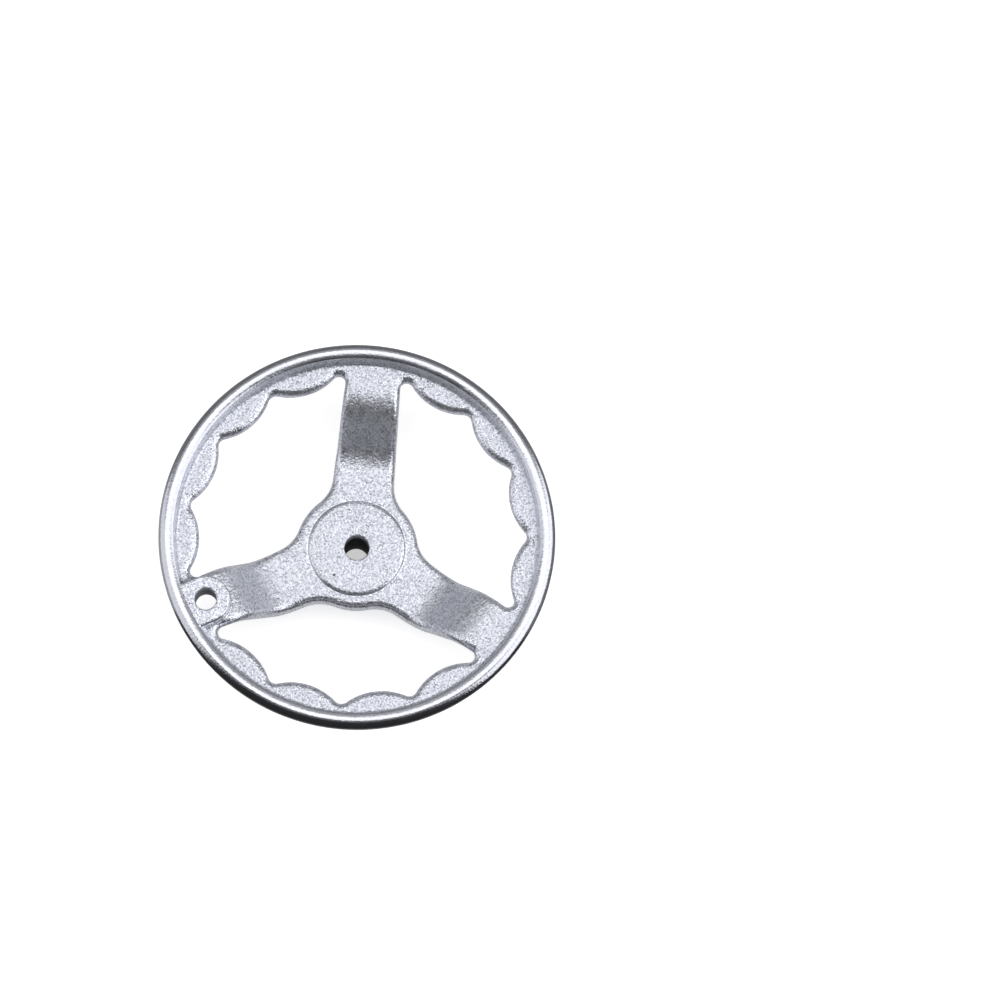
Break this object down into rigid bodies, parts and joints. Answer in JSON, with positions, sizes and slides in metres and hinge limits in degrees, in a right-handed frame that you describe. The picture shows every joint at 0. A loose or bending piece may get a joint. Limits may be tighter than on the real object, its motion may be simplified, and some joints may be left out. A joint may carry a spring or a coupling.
{
  "type": "dished spoked handwheel",
  "caption": "Cast machine handwheel with a beaded rim, scalloped finger flange, dished spokes, a hub with a plain bore, and a raised pad with a hole for a revolving handle.",
  "frame": {"origin": "centre of the bore at the hub's back face, which the wheel rests on", "axes": "+Z along the bore axis from the hub's back to the rim's crest, +X from the axis to the handle hole"},
  "size_m": [0.125, 0.125, 0.0382],
  "materials": {
    "plated_casting": "sand-cast grain under bright plating, polished rim bead"
  },
  "bodies": {
    "root": {"handwheel": "plated_casting"}
  },
  "joints": []
}
